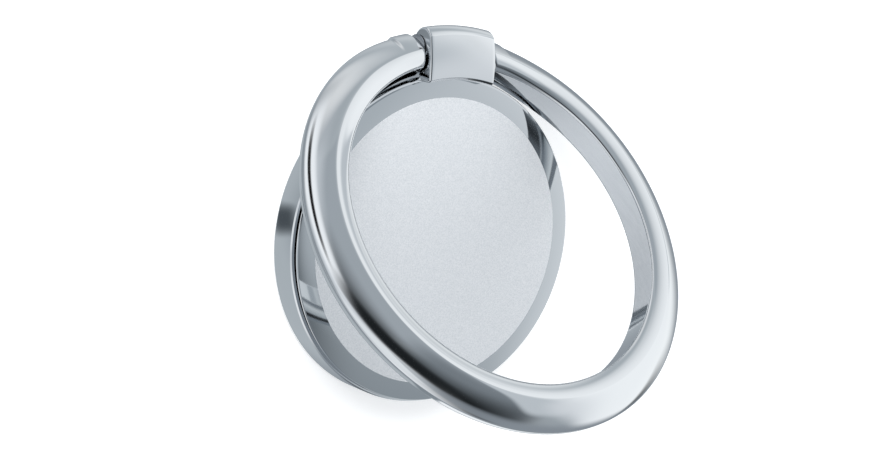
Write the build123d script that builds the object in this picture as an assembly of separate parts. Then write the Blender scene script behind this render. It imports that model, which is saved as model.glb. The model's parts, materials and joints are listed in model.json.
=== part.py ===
from build123d import *
import os

# Phone ring holder: a round base stuck to a phone case, a swivel plate riveted into it,
# and a finger ring that folds out on a friction hinge at the edge of the swivel plate.
# Sizes in millimetres. z = 0 is the adhesive face, +Z points away from the phone,
# +Y points to the hinge and the hinge pin runs along X.

# Base cup and its adhesive pad
base_radius = 18.4
base_height = 3.68
base_wall = 1.5
base_floor = 1.4
base_edge_chamfer = 0.14
base_back_round = 0.35
pad_margin = 1.9
pad_thickness = 0.8
pad_proud = 0.4
pad_clearance = 0.1

# Swivel plate and face plate
swivel_clearance = 0.3
lip_thickness = 0.36
plate_setback = 0.4
plate_edge_height = 0.2
bevel_width = 2.0
bevel_rise = 0.17
lip_reveal = 0.1

# Swivel bearing: rivet, disc spring and friction washer
rivet_radius = 2.0
rivet_head_overlap = 2.6
rivet_head_height = 0.6
rivet_foot_overlap = 1.2
rivet_foot_height = 0.55
rivet_chamfer = 0.2
foot_clearance = 0.3
spring_setback = 0.2
spring_thickness = 0.25
spring_height = 0.5
friction_washer_thickness = 0.3
friction_washer_width = 6.5
web_thickness = 0.6
well_clearance = 0.6
bearing_clearance = 0.05

# Finger ring, with its closed position round the base
ring_base_gap = 0.5
ring_lift = 0.54
ring_depth = 4.78
ring_width = 4.4
bore_flat_width = 2.9
crest_offset = 1.85
boss_rise = 0.28
boss_length = 2.8
boss_flank = 0.15
end_round = 0.35
swing_clearance = 0.3
open_angle = 36.84

# Hinge axis in the section of the ring, pin, sleeve and washers
hinge_set_in = 0.29
hinge_depth = 1.24
hinge_gap = 0.2
pin_radius = 0.75
pin_embed = 2.2
sleeve_wall = 0.3
sleeve_clearance = 0.04
sleeve_setback = 0.2
sleeve_slit = 0.4
hinge_washer_rim = 0.85
hinge_washer_thickness = 0.12
washer_bore_clearance = 0.03

# Knuckle, measured from the hinge axis
knuckle_half_width = 4.35
knuckle_front = 2.95
knuckle_front_drop = 0.17
knuckle_inner_chamfer = 0.25
knuckle_crease_reach = 2.0
knuckle_crease_drop = 0.62
knuckle_top = 2.85
knuckle_top_rise = 0.84
knuckle_heel_reach = 1.9
knuckle_heel_drop = 0.66
knuckle_heel_bulge = 0.15
knuckle_back = 2.1
knuckle_back_chamfer = 0.6
knuckle_root_depth = 1.0
knuckle_root_round = 0.7
knuckle_edge_round = 0.22
knuckle_clearance = 0.4

# Levels up the stack
pocket_z = pad_thickness
base_back_z = pad_proud
base_front_z = base_back_z + base_height
floor_z = pocket_z + base_floor
foot_back_z = pocket_z + pad_clearance
foot_front_z = foot_back_z + rivet_foot_height
washer_top_z = floor_z + friction_washer_thickness
spigot_back_z = washer_top_z + bearing_clearance
web_top_z = spigot_back_z + web_thickness
spring_back_z = web_top_z + bearing_clearance
head_back_z = spring_back_z + spring_height
head_front_z = head_back_z + rivet_head_height
lip_back_z = base_front_z + swivel_clearance
plate_back_z = lip_back_z + lip_thickness
plate_edge_z = plate_back_z + plate_edge_height
plate_front_z = plate_edge_z + bevel_rise

# Radii that follow from the base and the rivet
pad_radius = base_radius - pad_margin
pocket_radius = pad_radius + pad_clearance
recess_radius = base_radius - base_wall
spigot_radius = recess_radius - swivel_clearance
plate_radius = base_radius - plate_setback
lip_radius = plate_radius + lip_reveal
rivet_foot_radius = rivet_radius + rivet_foot_overlap
foot_pocket_radius = rivet_foot_radius + foot_clearance
rivet_head_radius = rivet_radius + rivet_head_overlap
rivet_bore = rivet_radius + bearing_clearance
spring_inner = rivet_bore + bearing_clearance
spring_outer = rivet_head_radius - spring_setback
well_radius = rivet_head_radius + well_clearance
washer_outer = spigot_radius - swivel_clearance
washer_inner = washer_outer - friction_washer_width

# Ring and hinge places
ring_bore_radius = base_radius + ring_base_gap
ring_outer_radius = ring_bore_radius + ring_depth
half_width = ring_width / 2
ring_mid_z = ring_lift + half_width
hinge_y = ring_bore_radius + ring_depth / 2 - hinge_set_in
hinge_z = ring_lift + ring_width - hinge_depth
end_x = knuckle_half_width + hinge_gap
pin_end_x = end_x + pin_embed
sleeve_bore = pin_radius + sleeve_clearance
sleeve_outer = sleeve_bore + sleeve_wall
hinge_axis = Axis((0, hinge_y, hinge_z), (-1, 0, 0))
ring_plane = Plane((0, 0, ring_mid_z), x_dir=(1, 0, 0), z_dir=(0, -1, 0))


def turned(points):
    """Solid of revolution about Z from a closed outline of (radius, height) points."""
    outline = Plane.XZ * make_face(Polyline(*points, close=True))
    return revolve(outline, Axis.Z)


def along_pin(outer, inner, x_low, x_high):
    """Bar or tube on the hinge axis between two x positions."""
    length = x_high - x_low
    bar = Cylinder(outer, length)
    if inner > 0:
        bar = bar - Cylinder(inner, length)
    return Pos((x_low + x_high) / 2, hinge_y, hinge_z) * Rot(0, 90, 0) * bar


def opened(shape):
    """Swing a piece of the ring from folded flat to the angle it is shown at."""
    return shape.rotate(hinge_axis, open_angle)


# Base cup: pocket for the pad behind, recess for the swivel plate in front
base_plate = turned([
    (rivet_radius, foot_front_z),
    (foot_pocket_radius, foot_front_z),
    (foot_pocket_radius, pocket_z),
    (pocket_radius, pocket_z),
    (pocket_radius, base_back_z),
    (base_radius, base_back_z),
    (base_radius, base_front_z - base_edge_chamfer),
    (base_radius - base_edge_chamfer, base_front_z),
    (recess_radius, base_front_z),
    (recess_radius, floor_z),
    (rivet_radius, floor_z),
])
back_rim = base_plate.edges().filter_by(GeomType.CIRCLE).group_by(Axis.Z)[0].sort_by(SortBy.RADIUS)[-1]
base_plate = fillet(back_rim, base_back_round)

# Adhesive pad, standing proud of the base so that it reaches the phone first
adhesive_pad = Pos(0, 0, pad_thickness / 2) * Cylinder(pad_radius, pad_thickness)

# Low-friction washer between the floor of the cup and the swivel plate
friction_washer = turned([
    (washer_inner, floor_z),
    (washer_outer, floor_z),
    (washer_outer, washer_top_z),
    (washer_inner, washer_top_z),
])

# Rivet: clinched foot behind the floor, shank, and a flat head above the disc spring
centre_rivet = turned([
    (0, foot_back_z),
    (rivet_foot_radius - rivet_chamfer, foot_back_z),
    (rivet_foot_radius, foot_back_z + rivet_chamfer),
    (rivet_foot_radius, foot_front_z),
    (rivet_radius, foot_front_z),
    (rivet_radius, head_back_z),
    (rivet_head_radius, head_back_z),
    (rivet_head_radius, head_front_z - rivet_chamfer),
    (rivet_head_radius - rivet_chamfer, head_front_z),
    (0, head_front_z),
])

# Coned disc spring under the rivet head
spring_washer = turned([
    (spring_inner, head_back_z - spring_thickness),
    (spring_outer, spring_back_z),
    (spring_outer, spring_back_z + spring_thickness),
    (spring_inner, head_back_z),
])

# Swivel plate: spigot in the cup, with a well for the rivet head
spigot = turned([
    (rivet_bore, spigot_back_z),
    (spigot_radius, spigot_back_z),
    (spigot_radius, lip_back_z),
    (well_radius, lip_back_z),
    (well_radius, web_top_z),
    (rivet_bore, web_top_z),
])

# Thin lip over the rim of the base, running out into the knuckle with a small round
neck_length = hinge_y - lip_radius
lip_plan = Circle(lip_radius) + Pos(0, lip_radius) * Rectangle(2 * knuckle_half_width, 2 * neck_length)
root_corners = lip_plan.vertices().filter_by_position(Axis.Y, 0, lip_radius)
lip_plan = fillet(root_corners, knuckle_root_round) - Circle(well_radius)
lip = Pos(0, 0, lip_back_z) * extrude(lip_plan, lip_thickness)

# Knuckle cast on the edge of the swivel plate: its section is turned about the same centre
knuckle_inner = base_radius + knuckle_clearance
front_z = hinge_z + knuckle_front
back_z = hinge_z - knuckle_back
inner_low = (lip_radius, front_z - knuckle_inner_chamfer)
inner_high = (lip_radius + knuckle_inner_chamfer, front_z)
front_mid = (hinge_y, front_z - knuckle_front_drop)
crease = (hinge_y + knuckle_crease_reach, front_z - knuckle_crease_drop)
heel = (hinge_y + knuckle_heel_reach, hinge_z - knuckle_heel_drop)
toe = (hinge_y, back_z)
heel_mid = ((heel[0] + toe[0]) / 2 + knuckle_heel_bulge, (heel[1] + toe[1]) / 2 - knuckle_heel_bulge)
knuckle_lines = [
    Polyline(
        (knuckle_inner, lip_back_z),
        (lip_radius - knuckle_root_depth, lip_back_z),
        (lip_radius - knuckle_root_depth, plate_back_z),
        (lip_radius, plate_back_z),
        inner_low,
        inner_high,
    ),
    ThreePointArc(inner_high, front_mid, crease),
    ThreePointArc(crease, (hinge_y + knuckle_top, hinge_z + knuckle_top_rise), heel),
    ThreePointArc(heel, heel_mid, toe),
    Polyline(
        toe,
        (knuckle_inner + knuckle_back_chamfer, back_z),
        (knuckle_inner, back_z + knuckle_back_chamfer),
        (knuckle_inner, lip_back_z),
    ),
]
knuckle_band = revolve(Plane.XZ * make_face(knuckle_lines), Axis.Z)

knuckle_reach = 2 * (hinge_y + knuckle_top)
knuckle_span = Box(2 * knuckle_half_width, knuckle_reach, 2 * front_z)
knuckle = knuckle_band & Pos(0, knuckle_reach / 2, front_z) * knuckle_span
side_edges = ShapeList()
for face in knuckle.faces().filter_by(Plane.YZ):
    side_edges += face.edges().filter_by_position(Axis.Y, knuckle_inner, ring_outer_radius)
knuckle = fillet(side_edges, knuckle_edge_round)
swivel_plate = spigot + lip + knuckle - along_pin(sleeve_outer, 0, -end_x, end_x)

# Face plate: sandblasted front with a bright bevel cut round it
face_plate = turned([
    (0, plate_back_z),
    (plate_radius, plate_back_z),
    (plate_radius, plate_edge_z),
    (plate_radius - bevel_width, plate_front_z),
    (0, plate_front_z),
])

# Rolled spring sleeve that grips the hinge pin and holds the ring at any angle
sleeve_end_x = knuckle_half_width - sleeve_setback
sleeve_gap = Pos(0, hinge_y, hinge_z - sleeve_outer) * Box(2 * end_x, sleeve_slit, 2 * sleeve_bore)
hinge_sleeve = along_pin(sleeve_outer, sleeve_bore, -sleeve_end_x, sleeve_end_x) - sleeve_gap

# Finger ring, turned folded flat round the base: flat bore, round edges, crowned outside
crest_radius = ring_bore_radius + crest_offset
crown_radius = ring_depth - crest_offset
flat_half = bore_flat_width / 2
edge_height = half_width - flat_half
ring_section = [
    Line((ring_bore_radius, -flat_half), (ring_bore_radius, flat_half)),
    EllipticalCenterArc((crest_radius, flat_half), crest_offset, edge_height, 90, arc_size=90),
    EllipticalCenterArc((crest_radius, 0), crown_radius, half_width, -90, arc_size=180),
    EllipticalCenterArc((crest_radius, -flat_half), crest_offset, edge_height, 180, arc_size=90),
]


def hinge_span(half_length):
    """Block round the hinge end of the ring, to both sides of the middle."""
    return Pos(0, ring_outer_radius, ring_mid_z) * Box(2 * half_length, 4 * ring_depth, 2 * ring_width)


# Gap for the knuckle, with rounded edges on the ring ends
finger_ring = revolve(ring_plane * make_face(ring_section), Axis.Z) - hinge_span(end_x)
end_edges = ShapeList()
for face in finger_ring.faces().filter_by(Plane.YZ):
    end_edges += face.edges()
finger_ring = fillet(end_edges, end_round)

# Raised boss round the outside of each ring end, over the length of the pin
boss_half_width = half_width - boss_flank
boss_section = [
    EllipticalCenterArc(
        (crest_radius, 0), crown_radius + boss_rise, boss_half_width, start_angle=-90, arc_size=180
    ),
    Line((crest_radius, -boss_half_width), (crest_radius, boss_half_width)),
]
boss_band = revolve(ring_plane * make_face(boss_section), Axis.Z)
boss_start_x = end_x + end_round
boss_reach = hinge_span(boss_start_x + boss_length) - hinge_span(boss_start_x)
finger_ring = finger_ring + (boss_band & boss_reach)

# Path that the edge of the base takes past the ring ends, and the bores for the pin
base_path = Pos(0, hinge_y, hinge_z) * Rot(0, 90, 0) * Torus(hinge_y, base_radius + swing_clearance)
finger_ring = finger_ring - base_path - along_pin(pin_radius, 0, -pin_end_x, pin_end_x)

# Hinge pin, pressed into the ring ends, with a thrust washer on each side of the knuckle
hinge_pin = along_pin(pin_radius, 0, -pin_end_x, pin_end_x)
washer_bore = pin_radius + washer_bore_clearance
washer_rim = pin_radius + hinge_washer_rim
hinge_washer_right = along_pin(washer_rim, washer_bore, end_x - hinge_washer_thickness, end_x)
hinge_washer_left = along_pin(washer_rim, washer_bore, -end_x, hinge_washer_thickness - end_x)

nodes = {
    "base_plate": base_plate,
    "adhesive_pad": adhesive_pad,
    "friction_washer": friction_washer,
    "centre_rivet": centre_rivet,
    "spring_washer": spring_washer,
    "swivel_plate": swivel_plate,
    "face_plate": face_plate,
    "hinge_sleeve": hinge_sleeve,
    "finger_ring": opened(finger_ring),
    "hinge_pin": opened(hinge_pin),
    "hinge_washer_left": opened(hinge_washer_left),
    "hinge_washer_right": opened(hinge_washer_right),
}
os.makedirs("parts", exist_ok=True)
for name, shape in nodes.items():
    export_step(shape, f"parts/{name}.step")
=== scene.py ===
import json
import math

import bpy
import numpy as np
from mathutils import Matrix, Vector


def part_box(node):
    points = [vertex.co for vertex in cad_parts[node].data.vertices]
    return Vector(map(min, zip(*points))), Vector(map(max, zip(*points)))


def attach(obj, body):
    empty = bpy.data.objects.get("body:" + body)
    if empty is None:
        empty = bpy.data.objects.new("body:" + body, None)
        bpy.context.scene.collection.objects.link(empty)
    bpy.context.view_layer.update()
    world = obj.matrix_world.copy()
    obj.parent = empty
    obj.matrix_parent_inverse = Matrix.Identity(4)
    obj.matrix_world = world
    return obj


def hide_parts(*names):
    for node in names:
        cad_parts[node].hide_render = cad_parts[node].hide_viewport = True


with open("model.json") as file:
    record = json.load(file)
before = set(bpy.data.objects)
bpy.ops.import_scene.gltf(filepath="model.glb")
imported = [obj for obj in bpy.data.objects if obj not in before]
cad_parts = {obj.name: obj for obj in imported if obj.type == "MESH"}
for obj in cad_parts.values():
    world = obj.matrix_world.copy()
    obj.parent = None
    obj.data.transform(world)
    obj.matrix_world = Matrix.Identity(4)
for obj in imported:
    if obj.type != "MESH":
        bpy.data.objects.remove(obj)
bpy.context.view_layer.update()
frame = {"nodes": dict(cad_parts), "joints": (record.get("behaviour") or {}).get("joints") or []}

MM = 0.001

# Sizes that the frame gives
base_low, base_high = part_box("base_plate")
plate_low, plate_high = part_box("face_plate")
washer_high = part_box("hinge_washer_right")[1]
ring_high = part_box("finger_ring")[1]
pad_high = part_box("adhesive_pad")[1]
hinge = next(j for j in frame["joints"] if j["name"] == "ring_hinge")
hinge_y, hinge_z = hinge["pos_m"][1], hinge["pos_m"][2]
open_angle = math.radians(-hinge["range_deg"][0])

# Base cup
base_radius = base_high.x
base_back_z, base_front_z = base_low.z, base_high.z
base_wall = 1.5 * MM
base_edge_chamfer = 0.14 * MM
base_back_round = 0.35 * MM
base_floor = 1.4 * MM
pocket_wall = 1.8 * MM
rivet_hole = 2.0 * MM
recess_radius = base_radius - base_wall
pocket_radius = base_radius - pocket_wall
pocket_z = pad_high.z
recess_z = pocket_z + base_floor

# Face plate and the lip of the swivel plate
plate_radius = plate_high.x
plate_back_z, plate_front_z = plate_low.z, plate_high.z
bevel_width = 2.0 * MM
bevel_rise = 0.17 * MM
lip_reveal = 0.1 * MM
lip_thickness = 0.36 * MM
lip_edge = 0.05 * MM
lip_undercut = 0.3 * MM
lip_widening = 0.2 * MM
lip_taper = math.radians(20)
lip_radius = plate_radius + lip_reveal
lip_back_z = plate_back_z - lip_thickness
spigot_depth = 1.2 * MM
swivel_clearance = 0.3 * MM
well_radius = 6.0 * MM

# Hinge and knuckle, measured from the hinge axis as in the casting
end_x = washer_high.x
hinge_gap = 0.2 * MM
knuckle_half_width = end_x - hinge_gap
knuckle_edge_round = 0.25 * MM
knuckle_root_round = 0.7 * MM
knuckle_front = 2.95 * MM
knuckle_front_drop = 0.17 * MM
knuckle_inner_chamfer = 0.25 * MM
knuckle_chamfer_round = knuckle_inner_chamfer / 4
knuckle_crease_reach = 2.0 * MM
knuckle_crease_drop = 0.62 * MM
knuckle_crease_round = 0.35 * MM
knuckle_top = 2.85 * MM
knuckle_top_rise = 0.84 * MM
knuckle_heel_reach = 1.9 * MM
knuckle_heel_drop = 0.66 * MM
knuckle_heel_bulge = 0.15 * MM
knuckle_back = 2.1 * MM
knuckle_back_chamfer = 0.6 * MM
knuckle_clearance = 0.4 * MM

# Finger ring, in its folded place; its front slope is straight at a fullness of 1, elliptic at 2
ring_gap = 0.5 * MM
ring_bore_radius = base_radius + ring_gap
ring_outer_radius = ring_high.x
ring_width = 4.4 * MM
ring_mid_z = 2.74 * MM
bore_flat_half = 1.45 * MM
crest_reach = 1.85 * MM
crest_radius = ring_bore_radius + crest_reach
slope_fullness = 1.25
boss_rise = 0.22 * MM
boss_length = 2.8 * MM
boss_fade = 0.4 * MM
boss_narrowing = 2
end_set_in = 0.19 * MM
end_set_front = 0.38 * MM
set_length = 7.5 * MM
end_round = 0.35 * MM
swing_clearance = 0.3 * MM
swing_reach = 1.5

# White floor: size of the paper fibres, and the glow that the camera sees
fibre_size = 0.4 * MM
floor_glow = 0.5

# Soft box lamp near the upper left
key_place = Vector((-70, 88, 112)) * MM
key_size = 120 * MM
key_power = 0.31

# Brightness of the studio panels, and half the side of the floor
studio_level = 1.25
floor_half = 2.0

# Camera, as fitted to the edges of the base, the face plate and the ring
camera_place = Vector((-135.573, 36.040, 190.927)) * MM
camera_target = Vector((1.0201, 0.6030, 5.1)) * MM
camera_up = Vector((0.01046, 0.98363, -0.17989))
camera_lens = 85.0
camera_sensor = 36.0
camera_near = 10 * MM

# Narrow flat left beside a rounded edge, so that the flat beyond it shades true
shading_margin = 0.03 * MM

# Fineness of the skins: points along the outlines, and stations along the pieces
turning_segments = 192
face_segments = 256
base_round_steps = 8
bore_steps = 61
front_steps = 44
slope_steps = 40
outside_steps = 24
end_round_steps = 12
end_stations = 90
root_stations = 40
root_share = 0.15
limb_stations = 80
knuckle_steps = 30
knuckle_heel_steps = 10
knuckle_chamfer_steps = 4
knuckle_crease_steps = 7
knuckle_edge_steps = 9
knuckle_stations = 33
lip_root_steps = 12
lip_steps = 160
crease_angle = math.radians(18)
ring_crease_angle = math.radians(30)
weld_distance = 0.0005 * MM


def srgb(code):
    """Linear colour from an sRGB hex code."""
    parts = [int(code[i:i + 2], 16) / 255 for i in (1, 3, 5)]
    return [c / 12.92 if c <= 0.04045 else ((c + 0.055) / 1.055) ** 2.4 for c in parts] + [1.0]


def add_node(tree, kind, settings=None, inputs=None):
    """Add one node, set its options, and give its inputs a value or a link."""
    item = tree.nodes.new(kind)
    for key, value in (settings or {}).items():
        setattr(item, key, value)
    for key, value in (inputs or {}).items():
        if isinstance(value, bpy.types.NodeSocket):
            tree.links.new(value, item.inputs[key])
        else:
            item.inputs[key].default_value = value
    return item


def new_material(name):
    """Empty node material with its output and a principled shader."""
    material = bpy.data.materials.new(name)
    material.use_nodes = True
    tree = material.node_tree
    tree.nodes.clear()
    output = add_node(tree, "ShaderNodeOutputMaterial")
    shader = add_node(tree, "ShaderNodeBsdfPrincipled")
    tree.links.new(shader.outputs["BSDF"], output.inputs["Surface"])
    return material, tree, shader


def chrome_plated_zinc():
    """Polished zinc casting under bright chrome: a cool sharp mirror, a little soft in places."""
    material, tree, shader = new_material("chrome_plated_zinc")
    place = add_node(tree, "ShaderNodeTexCoord").outputs["Object"]
    shader.inputs["Base Color"].default_value = srgb("#e4e6e8")
    shader.inputs["Metallic"].default_value = 1.0
    haze_size = 3.0 * MM
    haze = add_node(
        tree, "ShaderNodeTexNoise", inputs={"Vector": place, "Scale": 1 / haze_size, "Detail": 3.0}
    )
    rough = add_node(
        tree, "ShaderNodeMapRange", inputs={"Value": haze.outputs["Fac"], "To Min": 0.03, "To Max": 0.08}
    )
    tree.links.new(rough.outputs["Result"], shader.inputs["Roughness"])
    return material


def sandblasted_aluminium():
    """Bead-blasted and anodised face: fine grit spreads the reflections, a milky film whitens them."""
    material, tree, shader = new_material("sandblasted_aluminium")
    place = add_node(tree, "ShaderNodeTexCoord").outputs["Object"]
    grit_size = 0.11 * MM
    grit_depth = 0.02 * MM
    grit = add_node(
        tree, "ShaderNodeTexNoise", inputs={"Vector": place, "Scale": 1 / grit_size, "Detail": 2.0}
    )
    tone = add_node(tree, "ShaderNodeValToRGB", inputs={"Fac": grit.outputs["Fac"]})
    tone.color_ramp.elements[0].position = 0.3
    tone.color_ramp.elements[0].color = srgb("#dcdfe2")
    tone.color_ramp.elements[1].position = 0.7
    tone.color_ramp.elements[1].color = srgb("#f2f3f5")
    bump = add_node(
        tree, "ShaderNodeBump",
        inputs={"Height": grit.outputs["Fac"], "Strength": 0.2, "Distance": grit_depth},
    )
    tree.links.new(tone.outputs["Color"], shader.inputs["Base Color"])
    tree.links.new(bump.outputs["Normal"], shader.inputs["Normal"])
    shader.inputs["Metallic"].default_value = 0.5
    shader.inputs["Roughness"].default_value = 0.5
    return material


def diamond_cut_aluminium():
    """Bevel faced with a diamond tool: mirror bright, with faint turning rings round the centre."""
    material, tree, shader = new_material("diamond_cut_aluminium")
    place = add_node(tree, "ShaderNodeTexCoord").outputs["Object"]
    ring_pitch = 0.12 * MM
    wave_turn = 20  # radians that the wave texture turns through in one unit
    turning = add_node(
        tree, "ShaderNodeTexWave",
        settings={"wave_type": "RINGS", "rings_direction": "Z"},
        inputs={"Vector": place, "Scale": 2 * math.pi / ring_pitch / wave_turn, "Distortion": 0.0},
    )
    rough = add_node(
        tree, "ShaderNodeMapRange", inputs={"Value": turning.outputs["Fac"], "To Min": 0.02, "To Max": 0.06}
    )
    tree.links.new(rough.outputs["Result"], shader.inputs["Roughness"])
    shader.inputs["Base Color"].default_value = srgb("#ccd0d3")
    shader.inputs["Metallic"].default_value = 1.0
    return material


def bright_steel():
    """Drawn and stamped steel: grey, half bright, with a fine uneven gloss."""
    material, tree, shader = new_material("bright_steel")
    place = add_node(tree, "ShaderNodeTexCoord").outputs["Object"]
    grain_size = 0.2 * MM
    grain = add_node(
        tree, "ShaderNodeTexNoise", inputs={"Vector": place, "Scale": 1 / grain_size, "Detail": 2.0}
    )
    rough = add_node(
        tree, "ShaderNodeMapRange", inputs={"Value": grain.outputs["Fac"], "To Min": 0.18, "To Max": 0.34}
    )
    tree.links.new(rough.outputs["Result"], shader.inputs["Roughness"])
    shader.inputs["Base Color"].default_value = srgb("#b9bcc0")
    shader.inputs["Metallic"].default_value = 1.0
    return material


def foam_tape():
    """Acrylic foam tape: dull dark grey with a fine closed-cell mottle."""
    material, tree, shader = new_material("foam_tape")
    place = add_node(tree, "ShaderNodeTexCoord").outputs["Object"]
    cell_size = 0.3 * MM
    cells = add_node(tree, "ShaderNodeTexVoronoi", inputs={"Vector": place, "Scale": 1 / cell_size})
    tone = add_node(tree, "ShaderNodeValToRGB", inputs={"Fac": cells.outputs["Distance"]})
    tone.color_ramp.elements[0].color = srgb("#2b2c2e")
    tone.color_ramp.elements[1].color = srgb("#3d3e41")
    tree.links.new(tone.outputs["Color"], shader.inputs["Base Color"])
    shader.inputs["Roughness"].default_value = 0.85
    return material


def ptfe_sheet():
    """Skived PTFE: milky white with a waxy gloss."""
    material, tree, shader = new_material("ptfe_sheet")
    place = add_node(tree, "ShaderNodeTexCoord").outputs["Object"]
    streak_size = 1.5 * MM
    streak = add_node(tree, "ShaderNodeTexNoise", inputs={"Vector": place, "Scale": 1 / streak_size})
    tone = add_node(tree, "ShaderNodeValToRGB", inputs={"Fac": streak.outputs["Fac"]})
    tone.color_ramp.elements[0].color = srgb("#dcdcd8")
    tone.color_ramp.elements[1].color = srgb("#ecece8")
    tree.links.new(tone.outputs["Color"], shader.inputs["Base Color"])
    shader.inputs["Roughness"].default_value = 0.4
    return material


def white_floor():
    """White paper sweep: matt with a faint grain, bright to the camera and dim where it is shaded."""
    material, tree, shader = new_material("white_floor")
    place = add_node(tree, "ShaderNodeTexCoord").outputs["Object"]
    fibre = add_node(tree, "ShaderNodeTexNoise", inputs={"Vector": place, "Scale": 1 / fibre_size})
    tone = add_node(tree, "ShaderNodeValToRGB", inputs={"Fac": fibre.outputs["Fac"]})
    tone.color_ramp.elements[0].color = srgb("#e4e4e4")
    tone.color_ramp.elements[1].color = srgb("#eaeaea")
    tree.links.new(tone.outputs["Color"], shader.inputs["Base Color"])
    shader.inputs["Roughness"].default_value = 0.95
    shader.inputs["Specular IOR Level"].default_value = 0.0
    seen = add_node(tree, "ShaderNodeLightPath").outputs
    glow = add_node(
        tree, "ShaderNodeMath", {"operation": "MULTIPLY"}, {0: seen["Is Camera Ray"], 1: floor_glow}
    )
    tree.links.new(glow.outputs[0], shader.inputs["Emission Strength"])
    shader.inputs["Emission Color"].default_value = srgb("#ffffff")
    return material


def soft_panel_tree():
    """Shader nodes that lay one soft-edged rounded panel over the light from a direction."""
    tree = bpy.data.node_groups.new("soft_panel", "ShaderNodeTree")
    for name, kind in {
        "Direction": "NodeSocketVector", "Behind": "NodeSocketColor", "Facing": "NodeSocketVector",
        "Across": "NodeSocketVector", "Upward": "NodeSocketVector", "Width Scale": "NodeSocketFloat",
        "Inner Edge": "NodeSocketFloat", "Outer Edge": "NodeSocketFloat", "Colour": "NodeSocketColor",
    }.items():
        tree.interface.new_socket(name, in_out="INPUT", socket_type=kind)
    tree.interface.new_socket("Light", in_out="OUTPUT", socket_type="NodeSocketColor")
    given = add_node(tree, "NodeGroupInput").outputs
    parts = {}
    for name in ("Facing", "Across", "Upward"):
        parts[name] = add_node(
            tree, "ShaderNodeVectorMath", {"operation": "DOT_PRODUCT"},
            {0: given["Direction"], 1: given[name]},
        ).outputs["Value"]
    angle = add_node(
        tree, "ShaderNodeMath", {"operation": "ARCTAN2"}, {0: parts["Across"], 1: parts["Facing"]}
    ).outputs[0]
    side = add_node(
        tree, "ShaderNodeMath", {"operation": "MULTIPLY"}, {0: angle, 1: given["Width Scale"]}
    ).outputs[0]
    rise = parts["Upward"]
    side_2 = add_node(tree, "ShaderNodeMath", {"operation": "MULTIPLY"}, {0: side, 1: side}).outputs[0]
    rise_2 = add_node(tree, "ShaderNodeMath", {"operation": "MULTIPLY"}, {0: rise, 1: rise}).outputs[0]
    rise_4 = add_node(tree, "ShaderNodeMath", {"operation": "MULTIPLY"}, {0: rise_2, 1: rise_2}).outputs[0]
    total = add_node(
        tree, "ShaderNodeMath", {"operation": "MULTIPLY_ADD"}, {0: side_2, 1: side_2, 2: rise_4}
    ).outputs[0]
    reach = add_node(tree, "ShaderNodeMath", {"operation": "SQRT"}, {0: total}).outputs[0]
    cover = add_node(
        tree, "ShaderNodeMapRange", {"interpolation_type": "SMOOTHSTEP"},
        {
            "Value": reach, "From Min": given["Inner Edge"], "From Max": given["Outer Edge"],
            "To Min": 1.0, "To Max": 0.0,
        },
    ).outputs["Result"]
    mix = add_node(
        tree, "ShaderNodeMix", {"data_type": "RGBA"}, {0: cover, 6: given["Behind"], 7: given["Colour"]}
    ).outputs[2]
    add_node(tree, "NodeGroupOutput", inputs={0: mix})
    return tree


# Studio panels round the object: bearing from +X towards +Y, height above the floor, roll, half width,
# half height (degrees), softness of the edge as a share of the half size, and colour; a later panel
# stands before the earlier ones
STUDIO_BASE = "#a6adb2"
STUDIO_PANELS = [
    (81.5, 45.3, -3.5, 70.6, 32.6, 0.05, "#9aa1a7"),  # far side
    (65.8, 112.1, -15.1, 26.2, 46.8, 0.28, "#72797f"),  # zenith
    (216.8, 60.2, 28.6, 30.8, 17.3, 0.97, "#000000"),  # overhead
    (184.7, 22.4, -39.3, 28.6, 30.7, 0.97, "#17191a"),  # dark patch
    (202.4, 18.2, 37.3, 37.0, 25.5, 0.82, "#e4e7ea"),  # left box
    (149.0, 8.5, 34.0, 39.9, 13.5, 0.97, "#c8cdd2"),  # top strip
    (118.6, -20.8, 10.1, 24.7, 9.9, 0.97, "#feffff"),  # far low
    (227.2, -21.9, 30.4, 80.0, 13.7, 0.97, "#7e858c"),  # left low
    (184.3, -61.1, 22.5, 3.7, 4.1, 0.87, "#464c51"),  # wall band
    (148.6, -28.1, 44.8, 21.3, 17.4, 0.37, "#b9bfc5"),  # blob
    (152.2, -12.2, 34.4, 39.4, 9.2, 0.97, "#878e94"),  # streak
    (131.0, 4.0, 49.0, 38.0, 9.0, 0.35, "#eaedf0"),  # light flag
    (129.0, 2.0, 49.0, 24.0, 2.3, 0.50, "#0e0f10"),  # dark line
    (190.0, 43.0, 65.0, 24.0, 8.0, 0.45, "#dadee1"),  # light rise
    (171.0, 61.0, 65.0, 26.0, 6.0, 0.60, "#1c1f21"),  # dark rise
    (291.0, -41.2, -31.4, 42.3, 4.9, 0.20, "#7e868c"),  # low edge
    (293.3, -32.4, -40.4, 22.8, 8.7, 0.08, "#e9ecef"),  # low band
    (15.2, 58.7, -7.7, 19.6, 9.9, 0.19, "#b8bec3"),  # face box
    (0.7, 22.4, 46.0, 28.3, 29.1, 0.20, "#d0d4d8"),  # right box
    (7.6, 23.5, 15.7, 40.9, 14.8, 0.97, "#edf0f2"),  # core
    (-4.2, -23.2, -14.4, 40.6, 24.4, 0.65, "#f2f5f6"),  # front low
    (312.2, 4.3, -12.9, 34.3, 9.5, 0.35, "#2a2d30"),  # notch
    (314.1, 25.5, 26.9, 9.7, 45.5, 0.97, "#848b92"),  # gap
    (31.0, 10.0, 24.0, 14.0, 3.2, 0.35, "#b7bdc2"),  # horizon
    (-0.1, -43.0, -6.4, 26.8, 22.4, 0.80, "#81888f"),  # beyond
]


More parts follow.
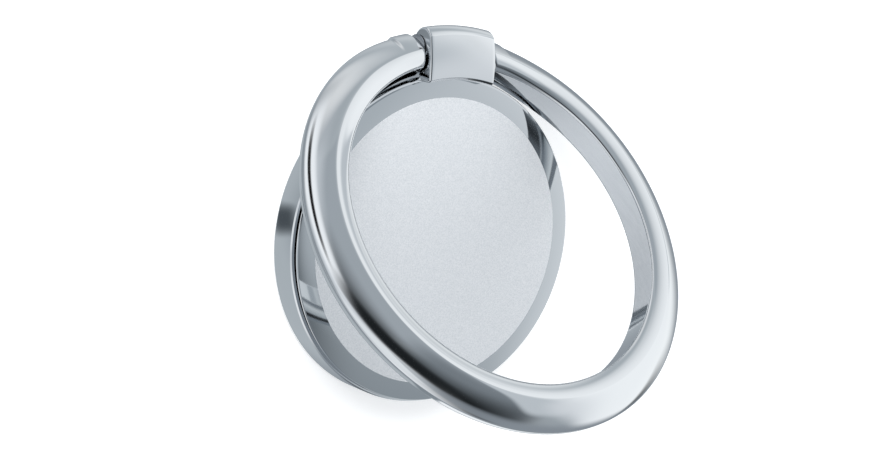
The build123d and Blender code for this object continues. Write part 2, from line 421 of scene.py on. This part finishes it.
def studio_world():
    """Soft studio: large pale panels on both sides, grey beyond the hinge and dark overhead."""
    world = bpy.data.worlds.new("studio")
    world.use_nodes = True
    world.cycles.sampling_method = "NONE"
    tree = world.node_tree
    tree.nodes.clear()
    panel_tree = soft_panel_tree()
    way = add_node(tree, "ShaderNodeTexCoord").outputs["Generated"]
    light = [studio_level * v for v in srgb(STUDIO_BASE)]
    for bearing, height, roll, half_width, half_height, softness, code in STUDIO_PANELS:
        turn, lift = math.radians(bearing), math.radians(height)
        facing = Vector((math.cos(lift) * math.cos(turn), math.cos(lift) * math.sin(turn), math.sin(lift)))
        level = Vector((-math.sin(turn), math.cos(turn), 0))
        plumb = facing.cross(level)
        c, s = math.cos(math.radians(roll)), math.sin(math.radians(roll))
        panel = add_node(
            tree, "ShaderNodeGroup", {"node_tree": panel_tree},
            {
                "Direction": way, "Behind": light, "Facing": facing, "Across": c * level + s * plumb,
                "Upward": (c * plumb - s * level) / math.sin(math.radians(half_height)),
                "Width Scale": 1 / math.radians(half_width), "Inner Edge": (1 - softness) ** 2,
                "Outer Edge": (1 + softness) ** 2, "Colour": [studio_level * v for v in srgb(code)],
            },
        )
        light = panel.outputs["Light"]
    glow = add_node(tree, "ShaderNodeBackground", inputs={"Color": light, "Strength": 1.0})
    add_node(tree, "ShaderNodeOutputWorld", inputs={"Surface": glow.outputs[0]})
    return world


def arc(centre, radii, start, stop, steps):
    """Points on an ellipse arc, angles in degrees from the first axis."""
    angles = np.radians(np.linspace(start, stop, steps))
    return [(centre[0] + radii[0] * math.cos(a), centre[1] + radii[1] * math.sin(a)) for a in angles]


def arc_through(a, b, c, steps):
    """Points on the circle through three points, from the first to the last."""
    (ax, ay), (bx, by), (cx, cy) = a, b, c
    d = 2 * (ax * (by - cy) + bx * (cy - ay) + cx * (ay - by))
    ux = ((ax**2 + ay**2) * (by - cy) + (bx**2 + by**2) * (cy - ay) + (cx**2 + cy**2) * (ay - by)) / d
    uy = ((ax**2 + ay**2) * (cx - bx) + (bx**2 + by**2) * (ax - cx) + (cx**2 + cy**2) * (bx - ax)) / d
    radius = math.hypot(ax - ux, ay - uy)
    turn = [math.atan2(p[1] - uy, p[0] - ux) for p in (a, b, c)]
    clockwise = (turn[1] - turn[0]) % (2 * math.pi) > (turn[2] - turn[0]) % (2 * math.pi)
    sweep = (turn[2] - turn[0]) % (2 * math.pi)
    if clockwise:
        sweep -= 2 * math.pi
    angles = [turn[0] + sweep * i / (steps - 1) for i in range(steps)]
    return [(ux + radius * math.cos(t), uy + radius * math.sin(t)) for t in angles]


def turning_tree():
    """Geometry nodes that turn an outline of (radius, height) points about Z into a closed skin."""
    tree = bpy.data.node_groups.new("turned_piece", "GeometryNodeTree")
    for name, kind in {
        "Outline": "NodeSocketGeometry", "Segments": "NodeSocketInt", "Steps": "NodeSocketInt",
        "Crease Angle": "NodeSocketFloat", "Finish": "NodeSocketMaterial",
    }.items():
        tree.interface.new_socket(name, in_out="INPUT", socket_type=kind)
    tree.interface.new_socket("Skin", in_out="OUTPUT", socket_type="NodeSocketGeometry")
    given = add_node(tree, "NodeGroupInput").outputs
    columns = add_node(tree, "FunctionNodeIntegerMath", {"operation": "ADD"}, {0: given["Segments"], 1: 1})
    grid = add_node(
        tree, "GeometryNodeMeshGrid", inputs={"Vertices X": columns.outputs[0], "Vertices Y": given["Steps"]}
    )
    index = add_node(tree, "GeometryNodeInputIndex").outputs[0]
    step = add_node(tree, "FunctionNodeIntegerMath", {"operation": "MODULO"}, {0: index, 1: given["Steps"]})
    column = add_node(
        tree, "FunctionNodeIntegerMath", {"operation": "DIVIDE_FLOOR"}, {0: index, 1: given["Steps"]}
    )
    share = add_node(
        tree, "ShaderNodeMath", {"operation": "DIVIDE"}, {0: column.outputs[0], 1: given["Segments"]}
    )
    angle = add_node(tree, "ShaderNodeMath", {"operation": "MULTIPLY"}, {0: share.outputs[0], 1: 2 * math.pi})
    sample = add_node(
        tree, "GeometryNodeSampleIndex", {"data_type": "FLOAT_VECTOR"},
        {"Geometry": given["Outline"], "Index": step.outputs[0]},
    )
    point = next(s for s in sample.inputs if s.name == "Value" and s.enabled)
    tree.links.new(add_node(tree, "GeometryNodeInputPosition").outputs[0], point)
    place = add_node(
        tree, "ShaderNodeVectorRotate", {"rotation_type": "Z_AXIS"},
        {"Vector": next(s for s in sample.outputs if s.enabled), "Angle": angle.outputs[0]},
    )
    turned = add_node(
        tree, "GeometryNodeSetPosition",
        inputs={"Geometry": grid.outputs["Mesh"], "Position": place.outputs[0]},
    )
    welded = add_node(
        tree, "GeometryNodeMergeByDistance", inputs={"Geometry": turned.outputs[0], "Distance": weld_distance}
    )
    bend = add_node(tree, "GeometryNodeInputMeshEdgeAngle").outputs["Unsigned Angle"]
    soft = add_node(
        tree, "FunctionNodeCompare", {"operation": "LESS_THAN"}, {0: bend, 1: given["Crease Angle"]}
    )
    faces = add_node(tree, "GeometryNodeSetShadeSmooth", {"domain": "FACE"}, {"Geometry": welded.outputs[0]})
    edges = add_node(
        tree, "GeometryNodeSetShadeSmooth", {"domain": "EDGE"},
        {"Geometry": faces.outputs[0], "Shade Smooth": soft.outputs["Result"]},
    )
    real = add_node(tree, "GeometryNodeRealizeInstances", inputs={0: edges.outputs[0]})
    finish = add_node(
        tree, "GeometryNodeSetMaterial", inputs={"Geometry": real.outputs[0], "Material": given["Finish"]}
    )
    add_node(tree, "NodeGroupOutput", inputs={0: finish.outputs[0]})
    return tree


def turned_piece(name, outline, finish, segments=turning_segments):
    """Object made by turning an outline of (radius, height) points about Z."""
    mesh = bpy.data.meshes.new(name + "_outline")
    mesh.from_pydata([(r, 0, z) for r, z in outline], [(i, i + 1) for i in range(len(outline) - 1)], [])
    piece = bpy.data.objects.new(name, mesh)
    bpy.context.collection.objects.link(piece)
    turn = piece.modifiers.new("turn", "NODES")
    turn.node_group = TURNING
    values = {"Segments": segments, "Steps": len(outline), "Crease Angle": crease_angle, "Finish": finish}
    for item in TURNING.interface.items_tree:
        if item.name in values:
            turn[item.identifier] = values[item.name]
    bpy.context.view_layer.update()
    skin = bpy.data.meshes.new_from_object(piece.evaluated_get(bpy.context.evaluated_depsgraph_get()))
    piece.modifiers.remove(turn)
    skin.materials.clear()
    skin.materials.append(finish)
    for polygon in skin.polygons:
        polygon.material_index = 0
    piece.data = skin
    return piece


def skin_of_rows(name, rows, finish, capped=True, crease=crease_angle):
    """Object whose skin joins closed rows of points, with its first and last row capped or joined."""
    steps = len(rows[0])
    count = len(rows)
    faces = []
    for i in range(count - 1 if capped else count):
        a, b = i * steps, (i + 1) % count * steps
        for j in range(steps):
            k = (j + 1) % steps
            faces.append((a + j, b + j, b + k, a + k))
    if capped:
        last = (count - 1) * steps
        faces.append(tuple(range(steps)))
        faces.append(tuple(range(last + steps - 1, last - 1, -1)))
    mesh = bpy.data.meshes.new(name)
    mesh.from_pydata([tuple(p) for row in rows for p in row], [], faces)
    mesh.materials.append(finish)
    mesh.validate()
    mesh.update()
    for polygon in mesh.polygons:
        polygon.use_smooth = True
    mesh.set_sharp_from_angle(angle=crease)
    piece = bpy.data.objects.new(name, mesh)
    bpy.context.collection.objects.link(piece)
    return piece


def ring_outline():
    """Ring section as (radius, height from the middle): flat bore, sloped front, round back."""
    half = ring_width / 2
    edge = half - bore_flat_half
    crown = ring_outer_radius - crest_radius
    flat = [(ring_bore_radius, z) for z in np.linspace(-bore_flat_half, bore_flat_half, bore_steps)[1:-1]]
    front = arc((crest_radius, bore_flat_half), (crest_reach, edge), 180, 90, front_steps)
    slope = []
    for turn in np.radians(np.linspace(90, 0, slope_steps))[1:-1]:
        across = math.cos(turn) ** (2 / slope_fullness)
        along = math.sin(turn) ** (2 / slope_fullness)
        slope.append((crest_radius + crown * across, half * along))
    outside = arc((crest_radius, 0), (crown, half), 0, -90, outside_steps)[:-1]
    back = arc((crest_radius, -bore_flat_half), (crest_reach, edge), 270, 180, outside_steps)
    return flat + front + slope + outside + back


def smooth_step(share):
    """Soft rise from 0 to 1 over a share of 0 to 1."""
    share = min(max(share, 0), 1)
    return share * share * (3 - 2 * share)


def with_boss(r, z, depth):
    """Ring section point moved by the boss at the ring end, and by the set of the end to the front."""
    dr = r - crest_radius
    away = math.hypot(dr, z)
    outward = max(dr / away, 0)
    inward = min(max(-dr / crest_reach, 0), 1)
    boss = boss_rise * outward**boss_narrowing * smooth_step((boss_length - depth) / boss_fade)
    settle = smooth_step((set_length - depth) / set_length) * (1 - inward**2)
    grow = 1 + boss / away
    return crest_radius + dr * grow - end_set_in * settle, z * grow + end_set_front * settle


def ring_end_row(outline, depth, inset):
    """Folded ring points at a depth from its end face, with the section drawn in round its edge."""
    x = end_x + depth
    middle = (crest_radius - end_set_in, end_set_front)
    row = []
    for r, z in outline:
        r, z = with_boss(r, z, depth)
        dr, dz = r - middle[0], z - middle[1]
        keep = 1 - inset / math.hypot(dr, dz)
        r, z = middle[0] + dr * keep, middle[1] + dz * keep
        row.append((x, math.sqrt(r * r - x * x), ring_mid_z + z))
    return row


def finger_ring_rows():
    """Rows of points round the ring, from its right end to its left end, folded flat."""
    outline = ring_outline()
    half = [ring_end_row(outline, 0, end_round + shading_margin)]
    for turn in np.linspace(0, math.pi / 2, end_round_steps):
        depth, inset = end_round * (1 - math.cos(turn)), end_round * (1 - math.sin(turn))
        half.append(ring_end_row(outline, depth, inset))
    for depth in np.linspace(end_round, set_length, end_stations)[1:]:
        half.append(ring_end_row(outline, depth, 0))
    starts = [math.asin((end_x + set_length) / r) for r, z in outline]
    near_end = np.linspace(0, root_share, root_stations)[1:]
    limb = np.linspace(root_share, 1, limb_stations)[1:]
    for share in np.concatenate([near_end, limb]):
        row = []
        for (r, z), start in zip(outline, starts):
            turn = start + (math.pi - start) * share
            row.append((r * math.sin(turn), r * math.cos(turn), ring_mid_z + z))
        half.append(row)
    other = [[(-x, y, z) for x, y, z in row] for row in half[-2::-1]]
    return half + other


def clear_of_base(point):
    """Point of the folded ring pulled in to the path that clears the edge of the base."""
    x, y, z = point
    limit_radius = base_radius + swing_clearance
    if abs(x) >= limit_radius or y < 0:
        return point
    limit = hinge_y - math.sqrt(limit_radius**2 - x * x)
    dy, dz = y - hinge_y, z - hinge_z
    away = math.hypot(dy, dz)
    if away <= limit or y < hinge_y - swing_reach * limit:
        return point
    return x, hinge_y + dy * limit / away, hinge_z + dz * limit / away


def opened(point):
    """Point of the folded ring swung to the angle it is shown at."""
    x, y, z = point
    dy, dz = y - hinge_y, z - hinge_z
    c, s = math.cos(open_angle), math.sin(open_angle)
    return x, hinge_y + dy * c + dz * s, hinge_z - dy * s + dz * c


def finger_ring_piece(finish):
    """Open ring with its bosses and rounded ends."""
    rows = [[opened(clear_of_base(p)) for p in row] for row in finger_ring_rows()]
    return skin_of_rows("ring_skin", rows, finish, crease=ring_crease_angle)


def rounded_corner(before, corner, after, radius, steps):
    """Points of a round between two lines that meet in a corner, with a short flat at each end."""
    corner = np.array(corner)
    u = corner - np.array(before)
    w = np.array(after) - corner
    u, w = u / np.linalg.norm(u), w / np.linalg.norm(w)
    bend = math.acos(float(np.clip(u @ w, -1, 1)))
    reach = radius * math.tan(bend / 2)
    start, stop = corner - u * reach, corner + w * reach
    side = np.array((u[1], -u[0])) * (1 if u[0] * w[1] - u[1] * w[0] < 0 else -1)
    centre = start + side * radius
    points = [start - u * shading_margin]
    for share in np.linspace(0, 1, steps):
        turn = bend * share
        points.append(centre - side * radius * math.cos(turn) + u * radius * math.sin(turn))
    points.append(stop + w * shading_margin)
    return [tuple(p) for p in points]


def knuckle_outline():
    """Knuckle section as (radius, height), from the lip up the inner wall and round."""
    front_z = hinge_z + knuckle_front
    inner_low = (lip_radius, front_z - knuckle_inner_chamfer)
    inner_high = (lip_radius + knuckle_inner_chamfer, front_z)
    front_mid = (hinge_y, front_z - knuckle_front_drop)
    crease = (hinge_y + knuckle_crease_reach, front_z - knuckle_crease_drop)
    top = (hinge_y + knuckle_top, hinge_z + knuckle_top_rise)
    heel = (hinge_y + knuckle_heel_reach, hinge_z - knuckle_heel_drop)
    toe = (hinge_y, hinge_z - knuckle_back)
    heel_mid = (
        (heel[0] + toe[0]) / 2 + knuckle_heel_bulge,
        (heel[1] + toe[1]) / 2 - knuckle_heel_bulge,
    )
    inner = base_radius + knuckle_clearance
    front = arc_through(inner_high, front_mid, crease, knuckle_steps)
    back = arc_through(crease, top, heel, knuckle_steps)
    root = (lip_radius, plate_back_z)
    outline = rounded_corner(root, inner_low, inner_high, knuckle_chamfer_round, knuckle_chamfer_steps)
    outline += rounded_corner(inner_low, inner_high, front[1], knuckle_chamfer_round, knuckle_chamfer_steps)
    outline += front[2:-2]
    outline += rounded_corner(front[-2], crease, back[1], knuckle_crease_round, knuckle_crease_steps)
    outline += back[2:-1]
    outline += arc_through(heel, heel_mid, toe, knuckle_heel_steps)
    outline += [(inner + knuckle_back_chamfer, toe[1]), (inner, toe[1] + knuckle_back_chamfer)]
    return outline + [(inner, lip_back_z), (lip_radius, lip_back_z)]


def inset_outline(outline, amount):
    """Closed outline moved inwards by an amount, point by point along its normals."""
    pts = np.array(outline)
    edge = np.roll(pts, -1, axis=0) - pts
    edge /= np.linalg.norm(edge, axis=1)[:, None]
    normal = np.stack([edge[:, 1], -edge[:, 0]], axis=1)
    mean = normal + np.roll(normal, 1, axis=0)
    mean /= np.linalg.norm(mean, axis=1)[:, None]
    return pts + mean * amount


def knuckle_piece(finish):
    """Hinge knuckle, its section turned about the centre of the plate between two straight sides."""
    outline = knuckle_outline()
    stations = [(knuckle_half_width, knuckle_edge_round + shading_margin)]
    for turn in np.linspace(0, math.pi / 2, knuckle_edge_steps):
        x = knuckle_half_width - knuckle_edge_round * (1 - math.cos(turn))
        stations.append((x, knuckle_edge_round * (1 - math.sin(turn))))
    flat_x = stations[-1][0]
    middle = [(x, 0.0) for x in np.linspace(flat_x, -flat_x, knuckle_stations)[1:-1]]
    stations = stations + middle + [(-x, inset) for x, inset in reversed(stations)]
    rows = []
    for x, inset in stations:
        rows.append([(x, math.sqrt(r * r - x * x), z) for r, z in inset_outline(outline, inset)])
    return skin_of_rows("knuckle_skin", rows, finish)


def lip_plan():
    """Plan of the lip: a circle that widens to the knuckle and runs into its sides with a round."""
    near_radius = lip_radius + lip_widening
    centre_x = knuckle_half_width + knuckle_root_round
    centre_y = math.sqrt((near_radius + knuckle_root_round) ** 2 - centre_x**2)
    bearing = math.atan2(centre_y, centre_x)
    right = [(knuckle_half_width - knuckle_edge_round, centre_y + knuckle_edge_round)]
    stop = 180 + math.degrees(bearing)
    right += arc((centre_x, centre_y), (knuckle_root_round,) * 2, 180, stop, lip_root_steps)
    for turn in np.linspace(bearing, -math.pi / 2, lip_steps)[1:]:
        radius = lip_radius + lip_widening * smooth_step(turn / (bearing - lip_taper))
        right.append((radius * math.cos(turn), radius * math.sin(turn)))
    return right + [(-x, y) for x, y in right[-2::-1]]


def swivel_lip_piece(finish):
    """Swivel plate under the face plate: spigot, and an undercut lip with the roots of the knuckle."""
    plan = np.array(lip_plan())
    around = plan / np.linalg.norm(plan, axis=1)[:, None]
    spigot_radius = recess_radius - swivel_clearance
    levels = [
        (around * well_radius, lip_back_z - spigot_depth),
        (around * spigot_radius, lip_back_z - spigot_depth),
        (around * spigot_radius, lip_back_z),
        (inset_outline(plan, lip_undercut), lip_back_z),
        (plan, plate_back_z - lip_edge),
        (inset_outline(plan, lip_edge), plate_back_z),
        (around * well_radius, plate_back_z),
    ]
    rows = [[(x, y, z) for x, y in points] for points, z in levels]
    return skin_of_rows("swivel_lip", rows, finish, capped=False)


TURNING = turning_tree()
chrome = chrome_plated_zinc()
blasted = sandblasted_aluminium()
diamond_cut = diamond_cut_aluminium()
steel = bright_steel()
foam = foam_tape()
ptfe = ptfe_sheet()

# Base cup, from the back of the floor round the outside and down into the recess
base_outline = [(rivet_hole, pocket_z), (pocket_radius, pocket_z), (pocket_radius, base_back_z)]
base_outline += arc(
    (base_radius - base_back_round, base_back_z + base_back_round),
    (base_back_round, base_back_round), -90, 0, base_round_steps,
)
base_outline += [
    (base_radius, base_front_z - base_edge_chamfer),
    (base_radius - base_edge_chamfer, base_front_z),
    (recess_radius, base_front_z),
    (recess_radius, recess_z),
    (rivet_hole, recess_z),
    (rivet_hole, pocket_z),
]
base = turned_piece("base_cup", base_outline, chrome)
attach(base, "base")
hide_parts("base_plate")

# Face plate, with its bevel and edge cut bright
face_outline = [
    (0.0, plate_back_z),
    (plate_radius, plate_back_z),
    (plate_radius, plate_front_z - bevel_rise),
    (plate_radius - bevel_width, plate_front_z),
    (0.0, plate_front_z),
]
face = turned_piece("face_disc", face_outline, blasted, face_segments)
face.data.materials.append(diamond_cut)
for polygon in face.data.polygons:
    reach = math.hypot(polygon.center.x, polygon.center.y)
    if reach > plate_radius - bevel_width:
        polygon.material_index = 1
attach(face, "swivel")
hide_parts("face_plate")

# Swivel plate: lip and spigot, with the knuckle on its edge
lip = swivel_lip_piece(chrome)
knuckle = knuckle_piece(chrome)
for piece in (lip, knuckle):
    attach(piece, "swivel")
    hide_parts("swivel_plate")

# Finger ring
ring = finger_ring_piece(chrome)
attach(ring, "ring")
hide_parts("finger_ring")

# Pieces whose solids are right as they are
for node, finish in {
    "adhesive_pad": foam, "friction_washer": ptfe, "centre_rivet": steel, "spring_washer": steel,
    "hinge_sleeve": steel, "hinge_pin": steel, "hinge_washer_left": steel, "hinge_washer_right": steel,
}.items():
    for slot in frame["nodes"][node].material_slots:
        slot.material = finish

# Floor; the bright metal sees the pale low panels of the studio in its place
floor_mesh = bpy.data.meshes.new("floor")
floor_mesh.from_pydata(
    [(x * floor_half, y * floor_half, 0) for x, y in ((-1, -1), (1, -1), (1, 1), (-1, 1))], [], [(0, 1, 2, 3)]
)
floor = bpy.data.objects.new("floor", floor_mesh)
bpy.context.collection.objects.link(floor)
floor_mesh.materials.append(white_floor())
floor.visible_glossy = False

# Light: the studio, and a soft lamp that the bright metal doesn't show
scene = bpy.context.scene
scene.world = studio_world()
scene.view_settings.view_transform = "Standard"

key = bpy.data.objects.new("soft_key", bpy.data.lights.new("soft_key", "AREA"))
key.data.size = key_size
key.data.energy = key_power
key.visible_glossy = False
key.matrix_world = Matrix.Translation(key_place) @ key_place.to_track_quat("Z", "Y").to_matrix().to_4x4()
bpy.context.collection.objects.link(key)

# Camera
camera_data = bpy.data.cameras.new("camera")
camera_data.lens = camera_lens
camera_data.sensor_width = camera_sensor
camera_data.clip_start = camera_near
camera = bpy.data.objects.new("camera", camera_data)
bpy.context.collection.objects.link(camera)
back = (camera_place - camera_target).normalized()
right = camera_up.cross(back).normalized()
up = back.cross(right)
camera.matrix_world = Matrix.Translation(camera_place) @ Matrix((right, up, back)).transposed().to_4x4()
scene.camera = camera
